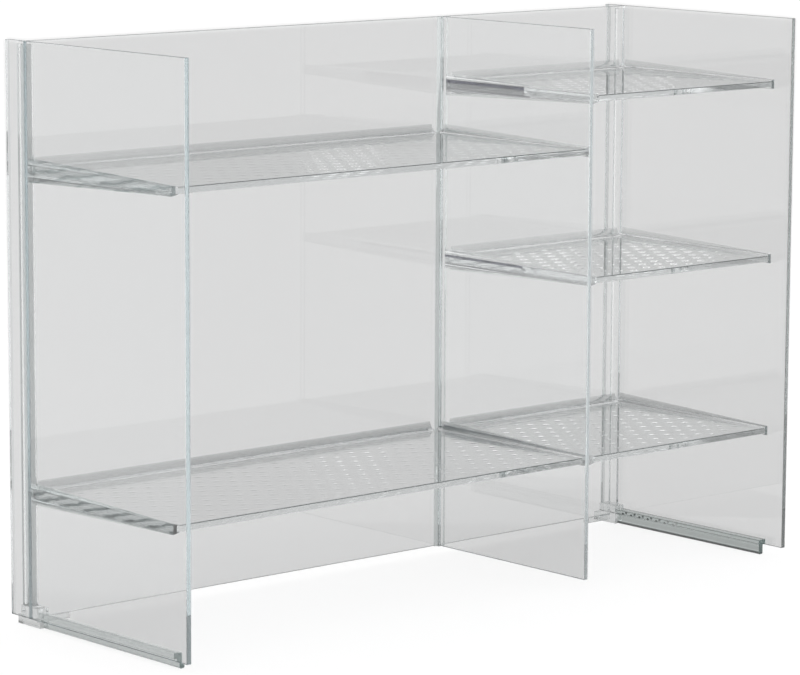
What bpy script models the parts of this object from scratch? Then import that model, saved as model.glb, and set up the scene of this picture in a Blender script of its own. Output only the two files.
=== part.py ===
"""Clear acrylic media storage rack, modelled as the sheets, shelves and mouldings it comes apart into.

Metres, +Z up. +X runs along the rack from left to right and +Y from front to rear. The origin is on
the floor under the middle of the rack. Each piece is an object of its own, and pieces that fit into
one another share the same sizes and the same clearance.
"""

import math

import bmesh
import bpy
from mathutils import Vector

# Overall sizes
RACK_WIDTH = 0.750
RACK_DEPTH = 0.257
PANEL_HEIGHT = 0.522
STAND_OFF = 0.0085  # from the floor to the lower edges of the sheets

# Sheets
SIDE_THICKNESS = 0.005
BACK_THICKNESS = 0.005
DIVIDER_THICKNESS = 0.005
SHEET_EASE = 0.0004  # broken edges of the sheets
LEFT_BAY_WIDTH = 0.490
FRONT_SETBACK = 0.0215  # shelf and divider fronts behind the fronts of the side panels
BACK_RECESS = 0.0235  # rear face of the back panel in front of the side panels' rear edges
CLEARANCE = 0.0003  # between pieces that touch or fit into one another

# Shelves
SHELF_THICKNESS = 0.006
SHELF_EASE = 0.0007
LOWER_SHELF_HEIGHT = 0.118  # top face above the lower edges of the sheets
UPPER_SHELF_DROP = 0.1115  # top face of the left bay's upper shelf below the panels' top edges
TOP_SHELF_DROP = 0.062  # top face of the right bay's top shelf below the panels' top edges

# Grooved holders of the shelves: the end cleats and the rear rails
HOLDER_WEB = 0.004  # solid part between the sheet and the groove
GROOVE_DEPTH = 0.003
HOLDER_LIP = 0.0009  # thinnest part of the holder above and below the groove
FRONT_FLARE = 0.0005  # how far a cleat widens towards its sheet, at the front
REAR_FLARE = 0.0068  # the same at the rear, and along the whole rear rail
FLARE_STEPS = 6

# Vertical strips
DIVIDER_STRIP_BASE = 0.011  # along the back panel
DIVIDER_STRIP_FACE = 0.0045  # at its front
CORNER_STRIP_LEG = 0.009  # along both sheets, behind the back panel
CORNER_STRIP_TOE = 0.002
CORNER_STRIP_DROP = 0.003  # its top below the panels' top edges

# Locating rails, which drop inside the panels of a rack below
RAIL_RISE = 0.006  # top of the flange above the lower edges of the sheets
RAIL_FLANGE = 0.005
RAIL_LEG = 0.0055
RAIL_LEG_OFFSET = 0.0038  # from the panel's inner face to the leg
RAIL_ROUND = 0.0016
ROUND_STEPS = 4

# Rear corner feet
FOOT_WIDTH = 0.0125
FOOT_FRONT = 0.008  # in front of the back panel
FOOT_REAR_INSET = 0.003  # from the side panel's rear edge
FOOT_RISE = 0.010  # cheeks above the lower edges of the sheets
FOOT_CHEEK = 0.012  # length of the cheek behind the back panel
FOOT_ARM_LENGTH = 0.030  # along the back panel's lower edge
FOOT_ARM_HEIGHT = 0.005
FOOT_EASE = 0.0006

# Places that follow from the sizes
SHEET_BASE = STAND_OFF
SHEET_TOP = SHEET_BASE + PANEL_HEIGHT
PANEL_FRONT = -RACK_DEPTH / 2
PANEL_REAR = RACK_DEPTH / 2
SHELF_FRONT = PANEL_FRONT + FRONT_SETBACK
BACK_REAR = PANEL_REAR - BACK_RECESS
BACK_FRONT = BACK_REAR - BACK_THICKNESS
LEFT_WALL = -RACK_WIDTH / 2 + SIDE_THICKNESS
RIGHT_WALL = RACK_WIDTH / 2 - SIDE_THICKNESS
DIVIDER_LEFT = LEFT_WALL + LEFT_BAY_WIDTH
DIVIDER_RIGHT = DIVIDER_LEFT + DIVIDER_THICKNESS
LOWER_SHELF_TOP = SHEET_BASE + LOWER_SHELF_HEIGHT
UPPER_SHELF_TOP = SHEET_TOP - UPPER_SHELF_DROP
TOP_SHELF_TOP = SHEET_TOP - TOP_SHELF_DROP
MIDDLE_SHELF_TOP = (LOWER_SHELF_TOP + TOP_SHELF_TOP) / 2  # two equal compartments in the right bay
HOLDER_REACH = HOLDER_WEB + GROOVE_DEPTH
GROOVE_HALF = SHELF_THICKNESS / 2 + CLEARANCE
TIP_HALF = GROOVE_HALF + HOLDER_LIP
FOOT_BACK = PANEL_REAR - FOOT_REAR_INSET


def clear_objects():
    """Remove whatever the scene holds."""
    for piece in list(bpy.data.objects):
        bpy.data.objects.remove(piece, do_unlink=True)


def acrylic(name, colour, roughness):
    """Make a clear acrylic finish.

    Args:
        name: Name of the material.
        colour: Linear colour of the body.
        roughness: Roughness of the surface.

    Returns:
        The material.
    """
    finish = bpy.data.materials.new(name)
    finish.use_nodes = True
    shader = finish.node_tree.nodes["Principled BSDF"]
    shader.inputs["Base Color"].default_value = (*colour, 1.0)
    shader.inputs["Roughness"].default_value = roughness
    shader.inputs["Metallic"].default_value = 0.0
    shader.inputs["IOR"].default_value = 1.49
    shader.inputs["Transmission Weight"].default_value = 1.0
    return finish


def loft(name, rings, finish):
    """Close a stack of matching rings into one solid with a cap at each end.

    Args:
        name: Name of the piece.
        rings: Two or more lists of points, equally long and in the same order.
        finish: Material of the piece.

    Returns:
        The new object.
    """
    shell = bmesh.new()
    loops = [[shell.verts.new(point) for point in ring] for ring in rings]
    count = len(loops[0])
    for near, far in zip(loops, loops[1:]):
        for index in range(count):
            following = (index + 1) % count
            shell.faces.new((near[index], near[following], far[following], far[index]))
    shell.faces.new(list(reversed(loops[0])))
    shell.faces.new(loops[-1])
    bmesh.ops.recalc_face_normals(shell, faces=shell.faces)
    mesh = bpy.data.meshes.new(name)
    shell.to_mesh(mesh)
    shell.free()
    mesh.materials.append(finish)
    piece = bpy.data.objects.new(name, mesh)
    bpy.context.scene.collection.objects.link(piece)
    return piece


def block(name, low, high, finish):
    """Make a box between two opposite corners."""
    outline = [(low[0], low[1]), (high[0], low[1]), (high[0], high[1]), (low[0], high[1])]
    rings = [[Vector((x, y, z)) for x, y in outline] for z in (low[2], high[2])]
    return loft(name, rings, finish)


def ease_edges(piece, width, segments=2):
    """Break the sharp edges of a piece with a small round."""
    round_over = piece.modifiers.new("broken edges", "BEVEL")
    round_over.width = width
    round_over.segments = segments
    round_over.limit_method = "ANGLE"
    round_over.angle_limit = math.radians(40)


def boolean(piece, other, operation):
    """Cut another solid out of a piece, or join it on, and put the other away as a guide."""
    change = piece.modifiers.new(operation.lower(), "BOOLEAN")
    change.operation = operation
    change.solver = "EXACT"
    change.object = other
    other.hide_render = True
    other.display_type = "WIRE"


def holder_section(flare):
    """Outline of a grooved holder, as (reach from the sheet, height from the shelf's mid plane).

    Args:
        flare: How far the holder widens above and below on its way back to the sheet.

    Returns:
        The outline's points, anticlockwise from the lower corner at the sheet.
    """
    quarter = [math.pi / 2 * step / FLARE_STEPS for step in range(FLARE_STEPS + 1)]
    sweep = [
        (HOLDER_REACH * (1 - math.cos(angle)), TIP_HALF + flare * (1 - math.sin(angle)))
        for angle in quarter
    ]
    groove = [
        (HOLDER_REACH, -GROOVE_HALF),
        (HOLDER_WEB, -GROOVE_HALF),
        (HOLDER_WEB, GROOVE_HALF),
        (HOLDER_REACH, GROOVE_HALF),
    ]
    lower = [(reach, -height) for reach, height in sweep]
    return lower + groove + list(reversed(sweep))


def end_cleat(name, wall, inward, rear, shelf_top, finish):
    """Make a shelf's end cleat, which tapers from the rear to the front.

    Args:
        name: Name of the cleat.
        wall: X of the sheet's face that carries it.
        inward: +1 or -1, the direction from the sheet into the bay.
        rear: Y of the cleat's rear end.
        shelf_top: Z of the shelf's top face.
        finish: Material of the cleat.

    Returns:
        The new object.
    """
    middle = shelf_top - SHELF_THICKNESS / 2
    foot = wall + inward * CLEARANCE
    rings = [
        [Vector((foot + inward * reach, y, middle + height)) for reach, height in holder_section(flare)]
        for y, flare in ((SHELF_FRONT, FRONT_FLARE), (rear, REAR_FLARE))
    ]
    return loft(name, rings, finish)


def rear_rail(name, left, right, shelf_top, finish):
    """Make the grooved rail that carries a shelf's rear edge on the back panel."""
    middle = shelf_top - SHELF_THICKNESS / 2
    foot = BACK_FRONT - CLEARANCE
    section = holder_section(REAR_FLARE)
    rings = [
        [Vector((x, foot - reach, middle + height)) for reach, height in section]
        for x in (left, right)
    ]
    return loft(name, rings, finish)


def shelf(name, left_wall, right_wall, left_strip, right_strip, shelf_top, finishes):
    """Make a shelf with the two cleats and the rail that hold it.

    Args:
        name: Name of the shelf, and the start of its holders' names.
        left_wall: X of the sheet's face on the shelf's left.
        right_wall: X of the sheet's face on the shelf's right.
        left_strip: Width that an upright strip takes on the back panel at the left, or 0.
        right_strip: The same at the right.
        shelf_top: Z of the shelf's top face.
        finishes: Materials of the shelf and of its holders.
    """
    seat = CLEARANCE + HOLDER_WEB + CLEARANCE  # from a sheet's face to the shelf's edge in its groove
    plate = block(
        name,
        (left_wall + seat, SHELF_FRONT, shelf_top - SHELF_THICKNESS),
        (right_wall - seat, BACK_FRONT - seat, shelf_top),
        finishes["shelf"],
    )
    ease_edges(plate, SHELF_EASE)
    sides = (("left", left_wall, 1, left_strip), ("right", right_wall, -1, right_strip))
    stops = []
    for side, wall, inward, strip in sides:
        strip_depth = CLEARANCE + HOLDER_WEB if strip else 0.0
        rear = BACK_FRONT - CLEARANCE - strip_depth
        end_cleat(f"{name}_{side}_cleat", wall, inward, rear, shelf_top, finishes["moulding"])
        taken = max(HOLDER_REACH, strip)
        stops.append(wall + inward * (CLEARANCE + taken + CLEARANCE))
    rear_rail(f"{name}_rear_rail", stops[0], stops[1], shelf_top, finishes["moulding"])


def upright(name, outline, low, high, finish):
    """Extrude an outline of (x, y) points between two heights."""
    rings = [[Vector((x, y, z)) for x, y in outline] for z in (low, high)]
    return loft(name, rings, finish)


def divider_strip(name, wall, outward, finish):
    """Make the hollow-sided strip in the corner between the divider and the back panel."""
    foot = wall + outward * CLEARANCE
    base = BACK_FRONT - CLEARANCE
    spread = DIVIDER_STRIP_BASE - DIVIDER_STRIP_FACE
    quarter = [math.pi / 2 * step / FLARE_STEPS for step in range(FLARE_STEPS + 1)]
    flank = [
        (DIVIDER_STRIP_BASE - spread * math.sin(angle), HOLDER_WEB * (1 - math.cos(angle)))
        for angle in quarter
    ]
    outline = [(foot, base)]
    outline += [(foot + outward * along, base - out) for along, out in flank]
    outline.append((foot, base - HOLDER_WEB))
    return upright(name, outline, SHEET_BASE, SHEET_TOP, finish)


def corner_strip(name, wall, inward, finish):
    """Make the strip that closes the corner behind the back panel."""
    foot = wall + inward * CLEARANCE
    base = BACK_REAR + CLEARANCE
    hollow = CORNER_STRIP_LEG - CORNER_STRIP_TOE
    quarter = [math.pi / 2 * step / FLARE_STEPS for step in range(FLARE_STEPS + 1)]
    flank = [
        (CORNER_STRIP_LEG - hollow * math.sin(angle), CORNER_STRIP_LEG - hollow * math.cos(angle))
        for angle in quarter
    ]
    outline = [(foot, base), (foot + inward * CORNER_STRIP_LEG, base)]
    outline += [(foot + inward * along, base + out) for along, out in flank]
    outline.append((foot, base + CORNER_STRIP_LEG))
    low = SHEET_BASE + FOOT_RISE + CLEARANCE
    return upright(name, outline, low, SHEET_TOP - CORNER_STRIP_DROP, finish)


def locating_rail(name, wall, inward, finish):
    """Make a rail whose flange sits on the panel and whose leg reaches down to the floor."""
    inner = RAIL_LEG_OFFSET + RAIL_LEG
    quarter = [math.pi / 2 * step / ROUND_STEPS for step in range(ROUND_STEPS + 1)]
    outer_tip = [
        (inner - RAIL_ROUND * (1 - math.cos(angle)), RAIL_ROUND * (1 - math.sin(angle)))
        for angle in quarter
    ]
    inner_tip = [
        (RAIL_LEG_OFFSET + RAIL_ROUND * (1 - math.sin(angle)), RAIL_ROUND * (1 - math.cos(angle)))
        for angle in quarter
    ]
    shoulder = [
        (inner - RAIL_ROUND * (1 - math.sin(angle)), SHEET_BASE + RAIL_RISE - RAIL_ROUND * (1 - math.cos(angle)))
        for angle in quarter
    ]
    section = [(CLEARANCE, SHEET_BASE + RAIL_RISE - RAIL_FLANGE), (CLEARANCE, SHEET_BASE + RAIL_RISE)]
    section += shoulder + outer_tip + inner_tip
    section.append((RAIL_LEG_OFFSET, SHEET_BASE + RAIL_RISE - RAIL_FLANGE))
    rear = BACK_FRONT - FOOT_FRONT - CLEARANCE
    rings = [
        [Vector((wall + inward * reach, y, z)) for reach, z in section]
        for y in (SHELF_FRONT, rear)
    ]
    return loft(name, rings, finish)


def corner_foot(name, wall, inward, finish):
    """Make a rear foot: a base with two cheeks that hold the back panel's corner, and an arm below it."""
    near = wall + inward * CLEARANCE
    far = wall + inward * FOOT_WIDTH
    seat = SHEET_BASE - CLEARANCE
    low, high = sorted((near, far))
    profile = [
        (BACK_FRONT - FOOT_FRONT, 0.0),
        (FOOT_BACK, 0.0),
        (FOOT_BACK, seat),
        (BACK_REAR + CLEARANCE + FOOT_CHEEK, seat),
        (BACK_REAR + CLEARANCE + FOOT_CHEEK, SHEET_BASE + FOOT_RISE),
        (BACK_REAR + CLEARANCE, SHEET_BASE + FOOT_RISE),
        (BACK_REAR + CLEARANCE, seat),
        (BACK_FRONT - CLEARANCE, seat),
        (BACK_FRONT - CLEARANCE, SHEET_BASE + FOOT_RISE),
        (BACK_FRONT - FOOT_FRONT, SHEET_BASE + FOOT_RISE),
    ]
    rings = [[Vector((x, y, z)) for y, z in profile] for x in (low, high)]
    foot = loft(name, rings, finish)
    inside = far - inward * FOOT_WIDTH / 2
    tip = far + inward * FOOT_ARM_LENGTH
    start, end = sorted((inside, tip))
    arm = block(
        f"{name}_arm_guide",
        (start, BACK_FRONT, seat - FOOT_ARM_HEIGHT),
        (end, BACK_REAR, seat),
        finish,
    )
    boolean(foot, arm, "UNION")
    ease_edges(foot, FOOT_EASE)
    return foot


def build_rack():
    """Build every piece of the rack and hang them all on one empty."""
    clear_objects()
    finishes = {
        "sheet": acrylic("clear acrylic sheet", (0.86, 0.88, 0.88), 0.02),
        "shelf": acrylic("clear acrylic shelf", (0.84, 0.87, 0.87), 0.04),
        "moulding": acrylic("clear acrylic moulding", (0.80, 0.84, 0.84), 0.04),
        "foot": acrylic("clear acrylic foot", (0.82, 0.85, 0.85), 0.06),
    }

    left_outer = -RACK_WIDTH / 2
    right_outer = RACK_WIDTH / 2
    sheets = (
        ("left_side_panel", (left_outer, PANEL_FRONT), (LEFT_WALL, PANEL_REAR)),
        ("right_side_panel", (RIGHT_WALL, PANEL_FRONT), (right_outer, PANEL_REAR)),
        ("back_panel", (LEFT_WALL + CLEARANCE, BACK_FRONT), (RIGHT_WALL - CLEARANCE, BACK_REAR)),
        ("centre_divider", (DIVIDER_LEFT, SHELF_FRONT), (DIVIDER_RIGHT, BACK_FRONT - CLEARANCE)),
    )
    for name, low, high in sheets:
        sheet = block(name, (*low, SHEET_BASE), (*high, SHEET_TOP), finishes["sheet"])
        ease_edges(sheet, SHEET_EASE)

    strip = DIVIDER_STRIP_BASE
    left_bay = (LEFT_WALL, DIVIDER_LEFT, 0.0, strip)
    right_bay = (DIVIDER_RIGHT, RIGHT_WALL, strip, 0.0)
    shelf("upper_left_shelf", *left_bay, UPPER_SHELF_TOP, finishes)
    shelf("lower_left_shelf", *left_bay, LOWER_SHELF_TOP, finishes)
    shelf("top_right_shelf", *right_bay, TOP_SHELF_TOP, finishes)
    shelf("middle_right_shelf", *right_bay, MIDDLE_SHELF_TOP, finishes)
    shelf("lower_right_shelf", *right_bay, LOWER_SHELF_TOP, finishes)

    divider_strip("divider_left_strip", DIVIDER_LEFT, -1, finishes["moulding"])
    divider_strip("divider_right_strip", DIVIDER_RIGHT, 1, finishes["moulding"])
    for side, wall, inward in (("left", LEFT_WALL, 1), ("right", RIGHT_WALL, -1)):
        corner_strip(f"{side}_corner_strip", wall, inward, finishes["moulding"])
        locating_rail(f"{side}_locating_rail", wall, inward, finishes["moulding"])
        corner_foot(f"{side}_rear_foot", wall, inward, finishes["foot"])

    rack = bpy.data.objects.new("media_rack", None)
    bpy.context.scene.collection.objects.link(rack)
    for piece in bpy.data.objects:
        if piece.type == "MESH":
            piece.parent = rack


if __name__ == "__main__":
    build_rack()
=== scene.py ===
"""Looks of a clear acrylic media storage rack: finishes, dimpled shelves, studio and camera.

Lengths are in metres and angles in degrees.
"""

import logging
import math
from dataclasses import asdict, dataclass, replace
from enum import Enum

import bmesh
import bpy
from mathutils import Matrix, Vector

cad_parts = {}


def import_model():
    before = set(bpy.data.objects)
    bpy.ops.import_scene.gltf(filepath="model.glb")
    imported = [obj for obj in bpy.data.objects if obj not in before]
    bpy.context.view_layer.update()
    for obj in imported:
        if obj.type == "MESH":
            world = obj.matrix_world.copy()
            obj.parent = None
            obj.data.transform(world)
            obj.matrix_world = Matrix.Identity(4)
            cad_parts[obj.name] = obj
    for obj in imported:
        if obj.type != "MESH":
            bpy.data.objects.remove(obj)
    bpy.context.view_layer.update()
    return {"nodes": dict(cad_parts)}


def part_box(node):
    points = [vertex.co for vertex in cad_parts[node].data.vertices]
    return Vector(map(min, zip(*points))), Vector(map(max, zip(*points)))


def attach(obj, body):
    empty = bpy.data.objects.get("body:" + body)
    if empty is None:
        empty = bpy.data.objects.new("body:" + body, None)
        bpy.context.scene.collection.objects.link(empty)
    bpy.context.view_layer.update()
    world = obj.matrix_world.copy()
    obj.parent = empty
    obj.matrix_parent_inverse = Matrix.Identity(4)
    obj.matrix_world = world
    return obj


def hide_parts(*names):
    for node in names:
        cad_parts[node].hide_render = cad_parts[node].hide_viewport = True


LOG = logging.getLogger("media_rack")
ROOT_BODY = "root"
CEMENTED = "cemented"
# Attribute with the share of painted shade mixed into an acrylic's tint
PAINTED_SHADE = "painted_shade"
RISE = "rise"
Triple = tuple[float, float, float]
Colour = Triple
Box = tuple[Vector, Vector]
Socket = bpy.types.NodeSocket
Value = Socket | float
Mesh = bpy.types.Mesh
Piece = bpy.types.Object
Material = bpy.types.Material


class Slot(Enum):
    """Material slots of the record."""

    SHEET = "acrylic_sheet"
    SHELF = "acrylic_shelf"
    MOULDING = "acrylic_moulding"
    FOOT = "acrylic_foot"


class StreakKind(Enum):
    """How the painted shade inside a cleat is drawn where the shelf's end shows."""

    SLANTED = "slanting streaks"
    TOP_LINE = "a dark line along the top"


@dataclass(frozen=True)
class Streak:
    """Painted shade inside a cleat: dark forms drawn where the shelf's end breaks the light."""

    kind: StreakKind
    colour: Colour
    base_share: float
    front_end: float = -0.2
    half_band: float = 0.0042
    soft: float = 0.0008
    spacing: float = 0.0073
    slant: float = 0.235
    share_low: float = 0.0
    share_high: float = 0.95
    wander: float = 5.0
    wander_scale: float = 110.0
    line_low: float = 0.0012
    line_high: float = 0.0024
    # Share of painted shade in front of the front end
    front_shade_share: float = 0.0


@dataclass(frozen=True)
class RailShadeMarks:
    """Painted shade in a locating rail: dark dots along its flange, a darker leg and a dark lip."""

    colour: Colour = (0.02, 0.024, 0.024)
    dot_core: float = 0.4
    dot_rim: float = 1.2
    dot_spacing: float = 0.012
    dot_half_length: float = 0.0019
    dot_half_height: float = 0.0014
    dot_height: float = 0.0112
    dots_start: float = -0.02
    dots_end: float = 0.05
    leg_base: float = 0.0040
    leg_top: float = 0.0088
    leg_share: float = 0.2
    lip_top: float = 0.0024
    lip_share: float = 0.9
    soft: float = 0.0006


@dataclass(frozen=True)
class AcrylicFinish:
    """A clear acrylic: what it takes from light at its faces and along its depth."""

    name: str
    slot: Slot
    tint: Colour
    tint_deep: Colour
    depth_colour: Colour
    depth_density: float
    haze: float
    wave_height: float
    wave_scale: float
    ior: float = 1.49
    cemented: bool = False
    # Colour of painted shade, mixed in where the mesh marks it
    painted_shade_colour: Colour | None = None
    streak: Streak | None = None
    # Painted shade: dark dots, leg and lip on a locating rail
    rail_shade_marks: RailShadeMarks | None = None
    # Painted shade along a side panel's rear edge
    rear_edge: Colour | None = None


CLEAR_SHEET = AcrylicFinish(
    name="polished clear sheet",
    slot=Slot.SHEET,
    tint=(0.975, 0.975, 0.975),
    tint_deep=(0.955, 0.96, 0.96),
    depth_colour=(0.567, 0.663, 0.69),
    depth_density=2.6,
    haze=0.012,
    wave_height=0.00000005,
    wave_scale=6.0,
)
# Copies of the clear sheet for the side panels with painted shade: more light taken along the depth
# darkens their edges, and their rear edges are painted darker
LEFT_SHEET = replace(
    CLEAR_SHEET,
    name="polished clear left sheet",
    depth_density=4.0,
    rear_edge=(0.76, 0.785, 0.785),
)
RIGHT_SHEET = replace(
    CLEAR_SHEET,
    name="polished clear right sheet",
    depth_colour=(0.62, 0.635, 0.635),
    depth_density=6.8,
    rear_edge=(0.50, 0.53, 0.53),
)
SHELF_FINISH = AcrylicFinish(
    name="dimpled clear shelf",
    slot=Slot.SHELF,
    tint=(0.91, 0.913, 0.915),
    tint_deep=(0.885, 0.893, 0.895),
    depth_colour=(0.70, 0.80, 0.805),
    depth_density=0.6,
    haze=0.02,
    wave_height=0.000001,
    wave_scale=9.0,
    cemented=True,
    # Painted shade: a dark line on the upper front ease and a darker right end of the front edge
    painted_shade_colour=(0.10, 0.11, 0.11),
)
# Darker copies of the shelf finish: painted shade that darkens these shelves
TOP_SHELF_FINISH = replace(
    SHELF_FINISH,
    name="dimpled clear top shelf",
    tint=(0.81, 0.82, 0.825),
    tint_deep=(0.78, 0.795, 0.80),
)
SHADED_SHELF_FINISH = replace(
    SHELF_FINISH,
    name="dimpled clear deeper shelf",
    tint=(0.86, 0.87, 0.87),
    tint_deep=(0.83, 0.845, 0.845),
)
CLEAT_FINISH = AcrylicFinish(
    name="moulded clear cleat",
    slot=Slot.MOULDING,
    tint=(0.96, 0.965, 0.965),
    tint_deep=(0.93, 0.94, 0.94),
    depth_colour=(0.60, 0.72, 0.725),
    depth_density=2.0,
    haze=0.03,
    wave_height=0.000004,
    wave_scale=30.0,
    cemented=True,
)
# Cleat finishes with painted shade: dark slanting forms or a dark top line, and on the lower cleat
# a deep tone on its upper flare; the lower cleat also takes much more light along its depth
LOWER_CLEAT_FINISH = replace(
    CLEAT_FINISH,
    name="moulded clear lower cleat",
    depth_colour=(0.55, 0.62, 0.615),
    depth_density=50.0,
    painted_shade_colour=(0.30, 0.36, 0.355),
    streak=Streak(StreakKind.SLANTED, colour=(0.10, 0.14, 0.14), base_share=0.35),
)
UPPER_CLEAT_FINISH = replace(
    CLEAT_FINISH,
    name="moulded clear upper cleat",
    streak=Streak(
        StreakKind.SLANTED,
        colour=(0.22, 0.27, 0.27),
        base_share=0.5,
        half_band=0.0105,
        spacing=0.0085,
        slant=0.16,
        share_low=0.35,
        wander=9.0,
        wander_scale=60.0,
    ),
)
DIVIDER_CLEAT_FINISH = replace(
    CLEAT_FINISH,
    name="moulded clear cleat on the divider",
    streak=Streak(
        StreakKind.TOP_LINE,
        colour=(0.03, 0.03, 0.045),
        base_share=0.45,
        front_end=-0.015,
        front_shade_share=0.4,
    ),
)
TOP_CLEAT_FINISH = replace(
    CLEAT_FINISH,
    name="moulded clear top cleat on the divider",
    streak=Streak(
        StreakKind.TOP_LINE,
        colour=(0.008, 0.008, 0.016),
        base_share=0.8,
        front_end=-0.015,
        line_low=0.0004,
        line_high=0.0016,
        front_shade_share=0.25,
    ),
)
# Rails and right cleats with painted shade on their upper flare
RAIL_FINISH = replace(
    CLEAT_FINISH,
    name="moulded rail with a deeper flare",
    painted_shade_colour=(0.20, 0.21, 0.215),
)
# Dark tints on clear strips: painted shade; the corner strips are darker, and the left one also
# takes much more light along its depth
STRIP_FINISH = replace(
    CLEAT_FINISH,
    name="clear upright strip",
    tint=(0.50, 0.54, 0.54),
    tint_deep=(0.44, 0.48, 0.48),
)
LEFT_CORNER_FINISH = replace(
    STRIP_FINISH,
    name="clear left corner strip",
    tint=(0.32, 0.35, 0.35),
    tint_deep=(0.27, 0.30, 0.30),
    depth_colour=(0.60, 0.62, 0.62),
    depth_density=90.0,
)
RIGHT_CORNER_FINISH = replace(
    STRIP_FINISH,
    name="clear right corner strip",
    tint=(0.34, 0.37, 0.37),
    tint_deep=(0.28, 0.31, 0.31),
)
# Darker copies of the cleat finish for the locating rails: painted shade; the right rail also gets
# painted dark dots, leg and lip
LOCATING_RAIL_FINISH = replace(
    CLEAT_FINISH,
    name="moulded locating rail",
    tint=(0.74, 0.77, 0.765),
    tint_deep=(0.66, 0.70, 0.695),
    depth_colour=(0.45, 0.57, 0.56),
    depth_density=6.0,
    cemented=False,
)
DOTTED_RAIL_FINISH = replace(
    LOCATING_RAIL_FINISH,
    name="moulded locating rail with dots",
    tint=(0.68, 0.72, 0.71),
    tint_deep=(0.60, 0.64, 0.63),
    rail_shade_marks=RailShadeMarks(),
)
FOOT_FINISH = AcrylicFinish(
    name="moulded clear foot",
    slot=Slot.FOOT,
    tint=(0.90, 0.905, 0.905),
    tint_deep=(0.86, 0.87, 0.87),
    depth_colour=(0.55, 0.67, 0.67),
    depth_density=4.0,
    haze=0.04,
    wave_height=0.000006,
    wave_scale=40.0,
)


class NodeMaths:
    """Adds small sums to a node tree and hands back their sockets."""

    def __init__(self, tree: bpy.types.NodeTree) -> None:
        """Keep the tree's nodes and links."""
        self.nodes, self.links = tree.nodes, tree.links

    def _feed(self, slot: Socket, value: Value) -> None:
        """Give an input another node's result or a plain number.

        Args:
            slot: The input.
            value: A socket or a number.
        """
        if isinstance(value, Socket):
            self.links.new(value, slot)
        else:
            slot.default_value = value

    def maths(self, operation: str, *values: Value) -> Socket:
        """Add a Math node.

        Args:
            operation: The node's operation.
            values: Its inputs, in order.

        Returns:
            The node's result.
        """
        node = self.nodes.new("ShaderNodeMath")
        node.operation = operation
        for slot, value in zip(node.inputs, values):
            self._feed(slot, value)
        return node.outputs["Value"]

    def between(
        self, value: Value, low: float, high: float, start: Value = 0.0, end: Value = 1.0
    ) -> Socket:
        """Pass smoothly from one level to another while a value goes from low to high.

        Args:
            value: The value to follow.
            low: Where the passage starts.
            high: Where the passage ends.
            start: The level up to low.
            end: The level from high on.

        Returns:
            The level.
        """
        node = self.nodes.new("ShaderNodeMapRange")
        node.interpolation_type = "SMOOTHSTEP"
        limits = {"From Min": low, "From Max": high, "To Min": start, "To Max": end}
        self._feed(node.inputs["Value"], value)
        for name, limit in limits.items():
            self._feed(node.inputs[name], limit)
        return node.outputs["Result"]

    def split(self, vector: Socket) -> bpy.types.NodeOutputs:
        """Split a vector into its three parts."""
        node = self.nodes.new("ShaderNodeSeparateXYZ")
        self.links.new(vector, node.inputs["Vector"])
        return node.outputs

    def attribute(self, name: str) -> Socket:
        """Read a value that is stored on the mesh."""
        node = self.nodes.new("ShaderNodeAttribute")
        node.attribute_name = name
        return node.outputs["Fac"]

    def place(self) -> Socket:
        """Read the place on the piece."""
        return self.nodes.new("ShaderNodeTexCoord").outputs["Object"]

    def noise(self, values: dict[str, float]) -> bpy.types.ShaderNode:
        """Add a noise over the place on the piece.

        Args:
            values: The noise's inputs by name.

        Returns:
            The noise node.
        """
        node = self.nodes.new("ShaderNodeTexNoise")
        for name, value in values.items():
            node.inputs[name].default_value = value
        self.links.new(self.place(), node.inputs["Vector"])
        return node


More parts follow.
